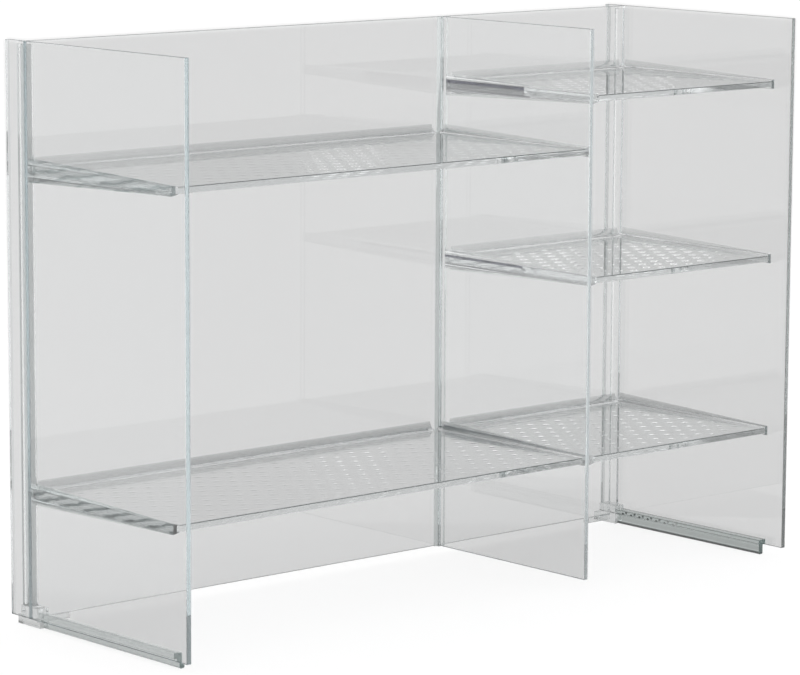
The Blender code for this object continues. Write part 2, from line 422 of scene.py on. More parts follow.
class AcrylicShader:
    """Builds the acrylic materials and the surface group that they share."""

    GROUP_NAME = "acrylic surface"
    GROUP_SOCKETS = (
        ("INPUT", "NodeSocketFloat", ("Haze", "Wave Scale")),
        ("INPUT", "NodeSocketColor", ("Tint", "Deep Tint")),
        ("OUTPUT", "NodeSocketColor", ("Colour",)),
        ("OUTPUT", "NodeSocketFloat", ("Roughness", "Height")),
    )
    HAZE = {"Scale": 14.0, "Detail": 6.0, "Roughness": 0.6}
    HAZE_FROM = 0.35
    HAZE_TO = 0.75
    WAVE = {"Detail": 1.0}
    CLOUD = {"Scale": 3.0, "Detail": 2.0}
    REAR_EDGE = 0.1256

    def __init__(self) -> None:
        """Make the shared group once."""
        self.group = self._surface_group()
        self.made: dict[str, Material] = {}

    def _surface_group(self) -> bpy.types.ShaderNodeTree:
        """Build the group that gives a cloudy tint, haze and slight waves over a surface.

        Returns:
            The node group, with Colour, Roughness and Height outputs.
        """
        group = bpy.data.node_groups.new(self.GROUP_NAME, "ShaderNodeTree")
        for direction, kind, names in self.GROUP_SOCKETS:
            for name in names:
                group.interface.new_socket(name, in_out=direction, socket_type=kind)
        nodes, links = group.nodes, group.links
        given = nodes.new("NodeGroupInput").outputs
        result = nodes.new("NodeGroupOutput").inputs
        sums = NodeMaths(group)
        haze, wave, cloud = (sums.noise(values) for values in (self.HAZE, self.WAVE, self.CLOUD))
        links.new(given["Wave Scale"], wave.inputs["Scale"])
        links.new(wave.outputs["Fac"], result["Height"])
        spread = nodes.new("ShaderNodeMapRange")
        spread.inputs["From Min"].default_value = self.HAZE_FROM
        spread.inputs["From Max"].default_value = self.HAZE_TO
        links.new(haze.outputs["Fac"], spread.inputs["Value"])
        links.new(given["Haze"], spread.inputs["To Max"])
        links.new(spread.outputs["Result"], result["Roughness"])
        blend = nodes.new("ShaderNodeMix")
        blend.data_type = "RGBA"
        links.new(cloud.outputs["Fac"], blend.inputs["Factor"])
        links.new(given["Tint"], blend.inputs["A"])
        links.new(given["Deep Tint"], blend.inputs["B"])
        links.new(blend.outputs["Result"], result["Colour"])
        return group

    def material(self, finish: AcrylicFinish) -> Material:
        """Give the material of a finish, made on first use.

        Args:
            finish: The finish to build.

        Returns:
            The material.
        """
        if finish.name in self.made:
            return self.made[finish.name]
        made = bpy.data.materials.new(finish.name)
        made.use_nodes = True
        nodes, links = made.node_tree.nodes, made.node_tree.links
        shader = nodes["Principled BSDF"]
        output = nodes["Material Output"]
        shader.inputs["IOR"].default_value = finish.ior
        shader.inputs["Transmission Weight"].default_value = 1.0
        surface = nodes.new("ShaderNodeGroup")
        surface.node_tree = self.group
        surface.inputs["Haze"].default_value = finish.haze
        surface.inputs["Wave Scale"].default_value = finish.wave_scale
        surface.inputs["Tint"].default_value = (*finish.tint, 1.0)
        surface.inputs["Deep Tint"].default_value = (*finish.tint_deep, 1.0)
        bump = nodes.new("ShaderNodeBump")
        bump.inputs["Distance"].default_value = finish.wave_height
        depth = nodes.new("ShaderNodeVolumeAbsorption")
        depth.inputs["Color"].default_value = (*finish.depth_colour, 1.0)
        depth.inputs["Density"].default_value = finish.depth_density
        links.new(surface.outputs["Colour"], shader.inputs["Base Color"])
        links.new(surface.outputs["Roughness"], shader.inputs["Roughness"])
        links.new(surface.outputs["Height"], bump.inputs["Height"])
        links.new(bump.outputs["Normal"], shader.inputs["Normal"])
        links.new(depth.outputs["Volume"], output.inputs["Volume"])
        sums = NodeMaths(made.node_tree)
        if finish.cemented:
            self._open_joints(sums)
        # Painted shade, mixed in by the share that the mesh holds
        if finish.painted_shade_colour:
            self._blend_in(sums, sums.attribute(PAINTED_SHADE), finish.painted_shade_colour)
        # Painted shade: dark slanting forms or a dark top line inside a cleat
        if finish.streak:
            self._paint_streak_shade(sums, finish.streak)
        # Painted shade on a locating rail's dots, leg and lip
        if finish.rail_shade_marks:
            self._paint_rail_shade(sums, finish.rail_shade_marks)
        # Painted shade along the rear edge
        if finish.rear_edge:
            self._paint_rear_edge_shade(sums, finish.rear_edge)
        self.made[finish.name] = made
        return made

    @staticmethod
    def _open_joints(sums: NodeMaths) -> None:
        """Let light pass unbroken where a face is cemented to its neighbour."""
        clear = sums.maths("SUBTRACT", 1.0, sums.attribute(CEMENTED))
        sums.links.new(clear, sums.nodes["Principled BSDF"].inputs["Alpha"])

    @staticmethod
    def _blend_in(sums: NodeMaths, share: Socket, colour: Colour) -> None:
        """Mix a colour over a material's own tint.

        Args:
            sums: The material's sums.
            share: How much of the colour shows.
            colour: The colour to mix in.
        """
        target = sums.nodes["Principled BSDF"].inputs["Base Color"]
        plain = target.links[0].from_socket
        mix = sums.nodes.new("ShaderNodeMix")
        mix.data_type = "RGBA"
        mix.inputs["B"].default_value = (*colour, 1.0)
        sums.links.new(share, mix.inputs["Factor"])
        sums.links.new(plain, mix.inputs["A"])
        sums.links.new(mix.outputs["Result"], target)

    def _paint_streak_shade(self, sums: NodeMaths, streak: Streak) -> None:
        """Paint the dark forms of shade inside a cleat.

        Args:
            sums: The material's sums.
            streak: The forms' colour and spacing.
        """
        maths, between = sums.maths, sums.between
        rear_of = sums.split(sums.place())["Y"]
        rise = sums.attribute(RISE)
        if streak.kind is StreakKind.TOP_LINE:
            form = between(rise, streak.line_low, streak.line_high)
        else:
            noise = sums.noise({"Scale": streak.wander_scale})
            turns = 2 * math.pi / streak.spacing
            along = maths("MULTIPLY", rear_of, -streak.slant * turns)
            phase = maths("MULTIPLY_ADD", rise, -turns, along)
            phase = maths("MULTIPLY_ADD", noise.outputs["Fac"], streak.wander, phase)
            form = between(maths("SINE", phase), streak.share_low, streak.share_high)
        share = maths("MULTIPLY_ADD", form, 1.0 - streak.base_share, streak.base_share)
        edge = streak.half_band
        band = between(maths("MULTIPLY", maths("ABSOLUTE", rise), -1.0), -edge - streak.soft, -edge)
        rear = maths("GREATER_THAN", rear_of, streak.front_end)
        beyond = maths("SUBTRACT", share, streak.front_shade_share)
        share = maths("MULTIPLY_ADD", beyond, rear, streak.front_shade_share)
        self._blend_in(sums, maths("MULTIPLY", share, band), streak.colour)

    def _paint_rail_shade(self, sums: NodeMaths, marks: RailShadeMarks) -> None:
        """Paint the dark forms of shade on a locating rail.

        Args:
            sums: The sums of the rail's material.
            marks: The forms' places and strengths.
        """
        maths, between = sums.maths, sums.between
        place = sums.split(sums.place())
        half = marks.dot_spacing / 2
        rear_of, up = place["Y"], place["Z"]
        aside = maths("DIVIDE", maths("WRAP", rear_of, half, -half), marks.dot_half_length)
        above = maths("SUBTRACT", up, marks.dot_height)
        above = maths("DIVIDE", above, marks.dot_half_height)
        away = maths("ADD", maths("MULTIPLY", aside, aside), maths("MULTIPLY", above, above))
        dot = maths("SUBTRACT", 1.0, between(away, marks.dot_core, marks.dot_rim))
        dot = maths("MULTIPLY", dot, between(rear_of, marks.dots_start, marks.dots_end))
        leg = maths("SUBTRACT", 1.0, between(up, marks.leg_top - marks.soft, marks.leg_top))
        leg = maths("MULTIPLY", leg, between(up, marks.leg_base - marks.soft, marks.leg_base))
        lip = maths("SUBTRACT", 1.0, between(up, marks.lip_top - marks.soft, marks.lip_top))
        leg_tone = maths("MULTIPLY", leg, marks.leg_share)
        lip_tone = maths("MULTIPLY", lip, marks.lip_share)
        shown = maths("MAXIMUM", maths("MAXIMUM", leg_tone, lip_tone), dot)
        self._blend_in(sums, shown, marks.colour)

    def _paint_rear_edge_shade(self, sums: NodeMaths, tone: Colour) -> None:
        """Paint shade along a side panel's rear edge."""
        edge = sums.maths("GREATER_THAN", sums.split(sums.place())["Y"], self.REAR_EDGE)
        self._blend_in(sums, edge, tone)


@dataclass(frozen=True)
class CementedJoint:
    """Finds the faces of a piece that lie against the neighbours it is cemented to."""

    partners: tuple[Box, ...]
    gap: float = 0.0004

    def _touches(self, corner: Vector, box: Box) -> bool:
        """Tell whether a corner lies within the joint's gap of a neighbour's box."""
        low, high = box
        return all(low[i] - self.gap <= corner[i] <= high[i] + self.gap for i in range(3))

    def mark(self, mesh: Mesh) -> None:
        """Store the joint's faces as an attribute of the mesh.

        Args:
            mesh: The piece's mesh.
        """
        marks = mesh.attributes.new(CEMENTED, "FLOAT", "FACE")
        for face in mesh.polygons:
            corners = [mesh.vertices[index].co for index in face.vertices]
            joined = any(
                all(self._touches(corner, box) for corner in corners) for box in self.partners
            )
            marks.data[face.index].value = float(joined)


def add_object(name: str, data: bpy.types.ID) -> Piece:
    """Put a new object into the scene."""
    made = bpy.data.objects.new(name, data)
    bpy.context.scene.collection.objects.link(made)
    return made


def keep_result(piece: Piece, modifier: bpy.types.Modifier) -> None:
    """Keep what a modifier makes of a piece as its plain mesh.

    Args:
        piece: The piece.
        modifier: Its modifier, which is taken off.
    """
    graph = bpy.context.evaluated_depsgraph_get()
    made = bpy.data.meshes.new_from_object(piece.evaluated_get(graph))
    plain = piece.data
    piece.modifiers.remove(modifier)
    piece.data = made
    bpy.data.meshes.remove(plain)


@dataclass
class CadPieces:
    """CAD nodes that keep their shape and only get a finish."""

    nodes: dict[str, Piece]
    finish: AcrylicFinish
    names: tuple[str, ...]

    def dress(self, shader: AcrylicShader) -> None:
        """Put the finish on every node.

        Args:
            shader: The maker of the materials.
        """
        for name in self.names:
            piece = self.nodes[name]
            piece.data.materials.clear()
            piece.data.materials.append(shader.material(self.finish))
            LOG.info("dressed %s as %s", name, self.finish.name)


@dataclass
class MouldedPieces:
    """Mouldings whose rounds and hollows are smoothed on a merged copy of the solid."""

    nodes: dict[str, Piece]
    finish: AcrylicFinish
    names: tuple[str, ...]
    sheets: tuple[str, ...] = ()
    weld: float = 1e-6
    flat_angle: float = 0.02
    crease: float = 30.0
    flat_weight: int = 100

    def dress(self, shader: AcrylicShader) -> None:
        """Replace every node by its smoothed copy.

        Args:
            shader: The maker of the materials.
        """
        for name in self.names:
            mesh = self._merged(self.nodes[name].data)
            self._shape(mesh, name)
            mesh.materials.append(shader.material(self.finish))
            piece = add_object(f"{name}_smooth", mesh)
            self._keep_flats(piece)
            partners = tuple(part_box(other) for other in self._partners(name))
            if partners:
                CementedJoint(partners).mark(piece.data)
            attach(piece, ROOT_BODY)
            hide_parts(name)
            LOG.info("smoothed %s as %s", name, self.finish.name)

    def _partners(self, name: str) -> tuple[str, ...]:
        """Name the neighbours that a moulding is cemented to."""
        return self.sheets

    def _shape(self, mesh: Mesh, name: str) -> None:
        """Leave the solid's shape as it is; mouldings with finer forms refine it."""

    def _merged(self, solid: Mesh) -> Mesh:
        """Copy a solid's mesh and join its triangles into whole faces.

        Args:
            solid: The CAD node's mesh.

        Returns:
            The joined copy, with its hard edges kept.
        """
        mesh = solid.copy()
        mesh.materials.clear()
        work = bmesh.new()
        work.from_mesh(mesh)
        bmesh.ops.remove_doubles(work, verts=work.verts, dist=self.weld)
        flat = math.radians(self.flat_angle)
        bmesh.ops.dissolve_limit(work, angle_limit=flat, verts=work.verts, edges=work.edges)
        work.to_mesh(mesh)
        work.free()
        mesh.shade_smooth()
        mesh.set_sharp_from_angle(angle=math.radians(self.crease))
        return mesh

    def _keep_flats(self, piece: Piece) -> None:
        """Let the rounds shade into the flats without bending the flats' own shading.

        Args:
            piece: The merged moulding.
        """
        weigh = piece.modifiers.new("true flats", "WEIGHTED_NORMAL")
        weigh.weight = self.flat_weight
        weigh.keep_sharp = True
        keep_result(piece, weigh)


@dataclass(frozen=True)
class FlareShade:
    """How deep the painted shade on a holder's upper flare is at its lip, along its body and at its
    top.
    """

    lip: float
    body: float
    top: float


# Painted shade on a holder's upper flare: deep, soft and pale
DEEP_FLARE_SHADE = FlareShade(lip=0.85, body=0.68, top=0.35)
SOFT_FLARE_SHADE = FlareShade(lip=0.72, body=0.50, top=0.22)
PALE_FLARE_SHADE = FlareShade(lip=0.55, body=0.30, top=0.10)


@dataclass
class ShelfHolders(MouldedPieces):
    """Cleats and rails that grip a shelf, whose lips run out to a feather edge on it."""

    reach: float = 0.007
    seat: float = 0.0043
    tip_half: float = 0.0042
    mouth_half: float = 0.0033
    feather: float = 0.00006
    mouth_feather: float = 0.000015
    slack: float = 0.0002
    slanted: float = 0.9995
    # How deep the painted shade on the upper flare is
    flare: FlareShade = DEEP_FLARE_SHADE
    body_from: float = 0.3
    body_to: float = 0.7
    # Share of painted shade on a right cleat's front end
    front_shade_share: float = 0.85

    def _partners(self, name: str) -> tuple[str, ...]:
        """Name the shelf that a holder is cemented to."""
        return (name.partition("_shelf_")[0] + "_shelf",)

    def _standing_out(self, place: Vector, name: str, low: Vector, high: Vector) -> float:
        """Measure how far a point stands out from the sheet that carries the holder.

        Args:
            place: The point.
            name: The holder's node.
            low: The shelf's lowest corner.
            high: The shelf's highest corner.

        Returns:
            The distance.
        """
        if name.endswith("_left_cleat"):
            return place.x - low.x + self.seat
        if name.endswith("_right_cleat"):
            return high.x - place.x + self.seat
        return high.y - place.y + self.seat

    def _shape(self, mesh: Mesh, name: str) -> None:
        """Thin the lips to a feather edge and mark the painted shade on the upper flare.

        Args:
            mesh: The holder's mesh.
            name: The holder's node.
        """
        low, high = (Vector(corner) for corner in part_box(self._partners(name)[0]))
        middle, half = (low.z + high.z) / 2, (high.z - low.z) / 2
        self._mark_painted_shade(mesh, name, middle)
        rises = mesh.attributes.new(RISE, "FLOAT", "POINT")
        for point in mesh.vertices:
            up = point.co.z - middle
            rises.data[point.index].value = up
            out = self._standing_out(point.co, name, low, high) / self.reach
            height = abs(up)
            if height > self.tip_half - self.slack:
                height -= (self.tip_half - half - self.feather) * min(1.0, max(0.0, out)) ** 2
            elif height > self.mouth_half - self.slack and out > 1.0 - self.slack / self.reach:
                height = half + self.mouth_feather
            point.co.z = middle + math.copysign(height, up)

    def _mark_painted_shade(self, mesh: Mesh, name: str, middle: float) -> None:
        """Mark painted shade on the upper flare and on a right cleat's front end.

        Args:
            mesh: The holder's mesh.
            name: The holder's node.
            middle: Height of the middle of the shelf.
        """
        axis = 0 if name.endswith("_rear_rail") else 1
        tops: dict[int, float] = {}
        for point in mesh.vertices:
            station = round(point.co[axis] / self.slack)
            tops[station] = max(tops.get(station, self.tip_half + self.slack), point.co.z - middle)
        marks = mesh.attributes.new(PAINTED_SHADE, "FLOAT", "CORNER")
        for face in mesh.polygons:
            flare = max(abs(part) for part in face.normal) < self.slanted and face.center.z > middle
            front_end = name.endswith("_right_cleat") and face.normal.y < -self.slanted
            for loop in face.loop_indices:
                point = mesh.vertices[mesh.loops[loop].vertex_index].co
                top = tops[round(point[axis] / self.slack)]
                climb = (point.z - middle - self.tip_half) / (top - self.tip_half)
                if flare:
                    marks.data[loop].value = self._flare_shade_share(climb)
                elif front_end:
                    marks.data[loop].value = self.front_shade_share

    def _flare_shade_share(self, climb: float) -> float:
        """Say how deep the flare's painted shade is at a height.

        Args:
            climb: The height, from 0 at the lip to 1 at the top.

        Returns:
            The share of the painted shade.
        """
        tone = self.flare
        if climb < self.body_to:
            rise = min(1.0, max(0.0, climb) / self.body_from)
            return tone.lip + (tone.body - tone.lip) * rise
        fall = min(1.0, (climb - self.body_to) / (1.0 - self.body_to))
        return tone.body + (tone.top - tone.body) * fall


@dataclass
class DividerStrips(MouldedPieces):
    """The upright strips beside the divider, which are slimmer to the eye than their solids."""

    slim: float = 0.5

    def _shape(self, mesh: Mesh, name: str) -> None:
        """Draw the strip in towards the divider.

        Args:
            mesh: The strip's mesh.
            name: The strip's node.
        """
        low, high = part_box("centre_divider")
        wall = low[0] if name.endswith("_left_strip") else high[0]
        for point in mesh.vertices:
            point.co.x = wall + (point.co.x - wall) * self.slim


@dataclass(frozen=True)
class DimpleRule:
    """The even field of shallow dimples that is moulded into a shelf's upper face."""

    pitch: float = 0.037
    row_spacing: float = 0.0089
    row_shift: float = 0.0124
    half_length: float = 0.0055
    half_depth: float = 0.0043
    rise: float = 0.00007
    margin: float = 0.009

    def inputs(self) -> dict[str, float]:
        """Give the sizes by the names of the tree's inputs."""
        return {name.replace("_", " ").title(): size for name, size in asdict(self).items()}


class DimpleField:
    """A Geometry Nodes tree that raises the dimples out of a shelf's upper face."""

    TREE_NAME = "shelf dimples"
    UPWARD = 0.999

    def __init__(self, rule: DimpleRule) -> None:
        """Build the tree once for all shelves."""
        self.rule = rule
        self.tree = self._tree()

    def _tree(self) -> bpy.types.GeometryNodeTree:
        """Build the tree.

        Returns:
            The tree, with the plate's corners and the dimples' sizes as named inputs.
        """
        tree = bpy.data.node_groups.new(self.TREE_NAME, "GeometryNodeTree")
        face = tree.interface
        face.new_socket("Geometry", in_out="INPUT", socket_type="NodeSocketGeometry")
        for name in self.rule.inputs():
            face.new_socket(name, in_out="INPUT", socket_type="NodeSocketFloat")
        face.new_socket("Low Corner", in_out="INPUT", socket_type="NodeSocketVector")
        face.new_socket("High Corner", in_out="INPUT", socket_type="NodeSocketVector")
        face.new_socket("Finish", in_out="INPUT", socket_type="NodeSocketMaterial")
        face.new_socket("Geometry", in_out="OUTPUT", socket_type="NodeSocketGeometry")
        nodes, links = tree.nodes, tree.links
        given = nodes.new("NodeGroupInput").outputs
        result = nodes.new("NodeGroupOutput")
        sums = NodeMaths(tree)
        maths, split = sums.maths, sums.split
        place = split(nodes.new("GeometryNodeInputPosition").outputs["Position"])
        facing = split(nodes.new("GeometryNodeInputNormal").outputs["Normal"])
        low, high = split(given["Low Corner"]), split(given["High Corner"])
        along = maths("SUBTRACT", place["X"], low["X"])
        across = maths("SUBTRACT", place["Y"], low["Y"])
        row = maths("ROUND", maths("DIVIDE", across, given["Row Spacing"]))
        to_row = maths("SUBTRACT", across, maths("MULTIPLY", row, given["Row Spacing"]))
        shifted = maths("ADD", along, maths("MULTIPLY", row, given["Row Shift"]))
        half = maths("MULTIPLY", given["Pitch"], 0.5)
        to_dimple = maths("WRAP", shifted, half, maths("MULTIPLY", half, -1.0))
        x = maths("DIVIDE", to_dimple, given["Half Length"])
        y = maths("DIVIDE", to_row, given["Half Depth"])
        away = maths("SQRT", maths("ADD", maths("MULTIPLY", x, x), maths("MULTIPLY", y, y)))
        lens = sums.between(away, 0.0, 1.0, start=1.0, end=0.0)
        to_sides = maths("MINIMUM", along, maths("SUBTRACT", high["X"], place["X"]))
        to_ends = maths("MINIMUM", across, maths("SUBTRACT", high["Y"], place["Y"]))
        inside = maths("GREATER_THAN", maths("MINIMUM", to_sides, to_ends), given["Margin"])
        upper = maths("GREATER_THAN", facing["Z"], self.UPWARD)
        raised = maths("MULTIPLY", lens, given["Rise"])
        offset = nodes.new("ShaderNodeCombineXYZ")
        links.new(maths("MULTIPLY", raised, maths("MULTIPLY", inside, upper)), offset.inputs["Z"])
        move = nodes.new("GeometryNodeSetPosition")
        links.new(given["Geometry"], move.inputs["Geometry"])
        links.new(offset.outputs["Vector"], move.inputs["Offset"])
        real = nodes.new("GeometryNodeRealizeInstances")
        wear = nodes.new("GeometryNodeSetMaterial")
        links.new(move.outputs["Geometry"], real.inputs["Geometry"])
        links.new(real.outputs["Geometry"], wear.inputs["Geometry"])
        links.new(given["Finish"], wear.inputs["Material"])
        links.new(wear.outputs["Geometry"], result.inputs["Geometry"])
        return tree

    def apply(self, piece: Piece, low: Vector, high: Vector, finish: Material) -> None:
        """Raise the dimples on one plate and keep the result as its plain mesh.

        Args:
            piece: The plate, with a finely divided upper face.
            low: The plate's lowest corner.
            high: The plate's highest corner.
            finish: The plate's material.
        """
        modifier = piece.modifiers.new("dimples", "NODES")
        modifier.node_group = self.tree
        values = self.rule.inputs()
        values |= {"Low Corner": low, "High Corner": high, "Finish": finish}
        for item in self.tree.interface.items_tree:
            if item.in_out == "INPUT" and item.name in values:
                modifier[item.identifier] = values[item.name]
        keep_result(piece, modifier)


@dataclass
class ShelfPlate:
    """A shelf: an acrylic plate with a dimpled upper face and an eased front edge."""

    name: str
    low: Vector
    high: Vector
    # How deep the painted shade on the front edge's right end is
    end_shade: float
    finish: AcrylicFinish
    ease: float = 0.0007
    ease_steps: int = 4
    grid: float = 0.0014
    held: float = 0.0027
    end_reach: float = 0.1
    end_gain: float = 4.0
    fronting: float = 0.1
    under_points: int = 2
    end_faces: int = 2

    def _lines(self, start: float, end: float) -> list[float]:
        """Space grid lines evenly between two ends."""
        count = max(2, round((end - start) / self.grid))
        return [start + (end - start) * step / count for step in range(count + 1)]

    def _section(self) -> tuple[list[tuple[float, float]], int]:
        """Give the plate's outline across its depth, as (y, z) points.

        Returns:
            The outline, along the upper face from front to rear and back below, and how many
            of its points lie on the upper face.
        """
        front, rear = self.low.y + self.ease, self.high.y
        top, base = self.high.z, self.low.z
        upper = [(y, top) for y in (*self._lines(front, rear - self.held), rear)]
        under = [(rear, base), (rear - self.held, base)]
        turns = [math.pi / 2 * step / self.ease_steps for step in range(self.ease_steps + 1)]
        ease = self.ease
        lower_ease = [(front - ease * math.sin(t), base + ease * (1 - math.cos(t))) for t in turns]
        upper_ease = [
            (front - ease * math.cos(t), top - ease * (1 - math.sin(t))) for t in turns[:-1]
        ]
        return upper + under + lower_ease + upper_ease, len(upper)

    def build(self) -> Piece:
        """Build the plate with a finely divided upper face.

        Returns:
            The plate's object, still flat.
        """
        section, upper = self._section()
        inner = self._lines(self.low.x + self.held, self.high.x - self.held)
        stations = [self.low.x, *inner, self.high.x]
        count = len(section)
        points = [(x, y, z) for x in stations for y, z in section]
        faces = [
            (
                place * count + i,
                (place + 1) * count + i,
                (place + 1) * count + (i + 1) % count,
                place * count + (i + 1) % count,
            )
            for place in range(len(stations) - 1)
            for i in range(count)
        ]
        last = (len(stations) - 1) * count
        faces.append(tuple(range(count)))
        faces.append(tuple(last + i for i in reversed(range(count))))
        mesh = bpy.data.meshes.new(self.name)
        mesh.from_pydata(points, [], faces)
        mesh.update()
        self._shade(mesh, count, upper)
        self._mark_joint(mesh)
        return add_object(f"{self.name}_dimpled", mesh)

    def _shade(self, mesh: Mesh, count: int, upper: int) -> None:
        """Smooth the upper face and the eased edges, and keep the other faces flat.

        Args:
            mesh: The plate's mesh.
            count: Points in the outline.
            upper: How many of them lie on the upper face.
        """
        below = upper + self.under_points
        front_face = below + self.ease_steps
        mesh.shade_smooth()
        hard = mesh.attributes.new("sharp_edge", "BOOLEAN", "EDGE")
        # Painted shade: the upper ease gives a dark line along the front edge, and the front edge
        # darkens towards its right end
        deep = mesh.attributes.new(PAINTED_SHADE, "FLOAT", "FACE")
        for face in mesh.polygons:
            side = face.index % count
            deep.data[face.index].value = self._painted_shade_share(face, side - front_face)
            eased = side >= below and side != front_face
            whole = face.index >= len(mesh.polygons) - self.end_faces
            if whole or not (side < upper - 1 or eased):
                for loop in face.loop_indices:
                    hard.data[mesh.loops[loop].edge_index].value = True

    def _painted_shade_share(self, face: bpy.types.MeshPolygon, row: int) -> float:
        """Say how deep a face's painted shade is: the upper ease and the front edge's right end are
        painted dark.

        Args:
            face: A face of the plate.
            row: Its row in the outline, counted from the front face.

        Returns:
            The share of the painted shade.
        """
        if row > 0:
            return 1.0
        if row < 0:
            return 0.0
        near = 1.0 - (self.high.x - face.center.x) / self.end_reach
        return self.end_shade * min(1.0, max(0.0, near * self.end_gain))

    def _mark_joint(self, mesh: Mesh) -> None:
        """Mark the faces that sit in the holders' grooves; the front edge's right end is bare.

        Args:
            mesh: The plate's mesh.
        """
        marks = mesh.attributes.new(CEMENTED, "FLOAT", "FACE")
        for face in mesh.polygons:
            middle = face.center
            ends = min(middle.x - self.low.x, self.high.x - middle.x) < self.held
            held = ends or self.high.y - middle.y < self.held
            bare = face.normal.y < -self.fronting and middle.x > self.low.x + self.held
            marks.data[face.index].value = float(held and not bare)

    def dress(self, field: DimpleField, shader: AcrylicShader) -> None:
        """Make the shelf and put it in the place of its plain solid.

        Args:
            field: The dimples.
            shader: The maker of the materials.
        """
        piece = self.build()
        field.apply(piece, self.low, self.high, shader.material(self.finish))
        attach(piece, ROOT_BODY)
        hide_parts(self.name)
        LOG.info("built %s with %d faces", piece.name, len(piece.data.polygons))


@dataclass(frozen=True)
class GlintLamp:
    """A narrow lamp far behind the rack, that lights up in the shelves' dimples."""

    aside: float
    elevation: float
    width: float
    height: float
    share: float = 1.0


GLINT_LAMPS = (
    GlintLamp(aside=-0.9, elevation=9.10, width=0.9, height=0.84),
    GlintLamp(aside=1.8, elevation=9.10, width=1.6, height=0.84),
    GlintLamp(aside=4.2, elevation=9.06, width=1.4, height=0.70),
    GlintLamp(aside=-0.9, elevation=7.48, width=0.9, height=0.31),
    GlintLamp(aside=1.8, elevation=7.48, width=1.6, height=0.31, share=0.7),
    GlintLamp(aside=4.2, elevation=7.48, width=1.4, height=0.31, share=0.7),
    GlintLamp(aside=-0.9, elevation=6.085, width=0.9, height=0.31, share=0.15),
    GlintLamp(aside=1.2, elevation=6.085, width=1.2, height=0.31, share=0.5),
    GlintLamp(aside=3.4, elevation=6.085, width=1.6, height=0.31),
)


